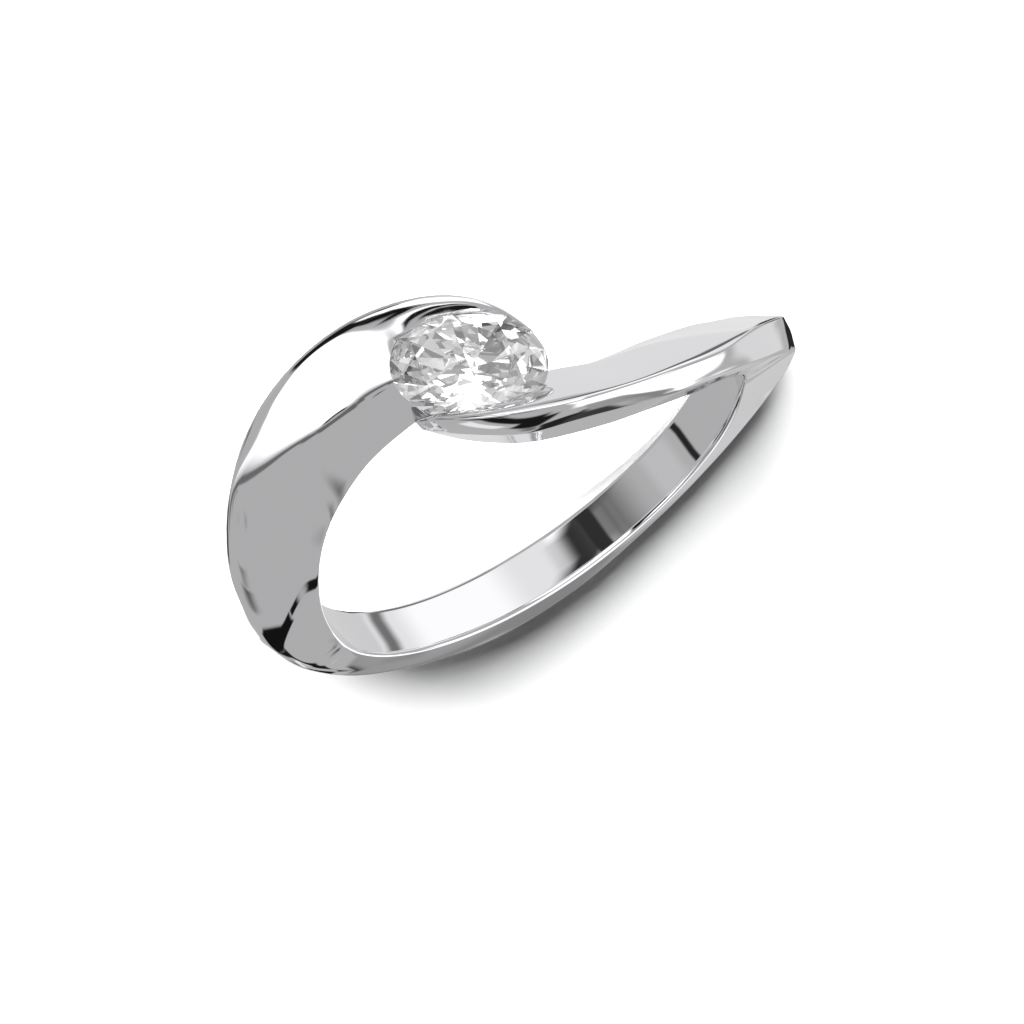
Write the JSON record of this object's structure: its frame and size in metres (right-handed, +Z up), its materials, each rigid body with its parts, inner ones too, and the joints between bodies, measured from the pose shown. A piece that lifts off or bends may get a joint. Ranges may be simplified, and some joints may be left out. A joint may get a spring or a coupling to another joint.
{
  "type": "solitaire ring",
  "caption": "Crossover solitaire ring: two twisting arms of one polished band pass each other and hold an oval brilliant-cut stone by its long sides.",
  "frame": {"origin": "under the middle of the ring's box, on the surface that the ring lies on", "axes": "+Z up from the surface; the finger hole's axis leans 8.7 degrees from +Z; +Y towards the stone; +X across the hand"},
  "size_m": [0.0218, 0.0228, 0.0066],
  "materials": {
    "white_gold": "mirror polished and rhodium plated white gold",
    "diamond": "polished facets, colourless"
  },
  "bodies": {
    "root": {"band": "white_gold", "stone": "diamond"}
  },
  "joints": []
}
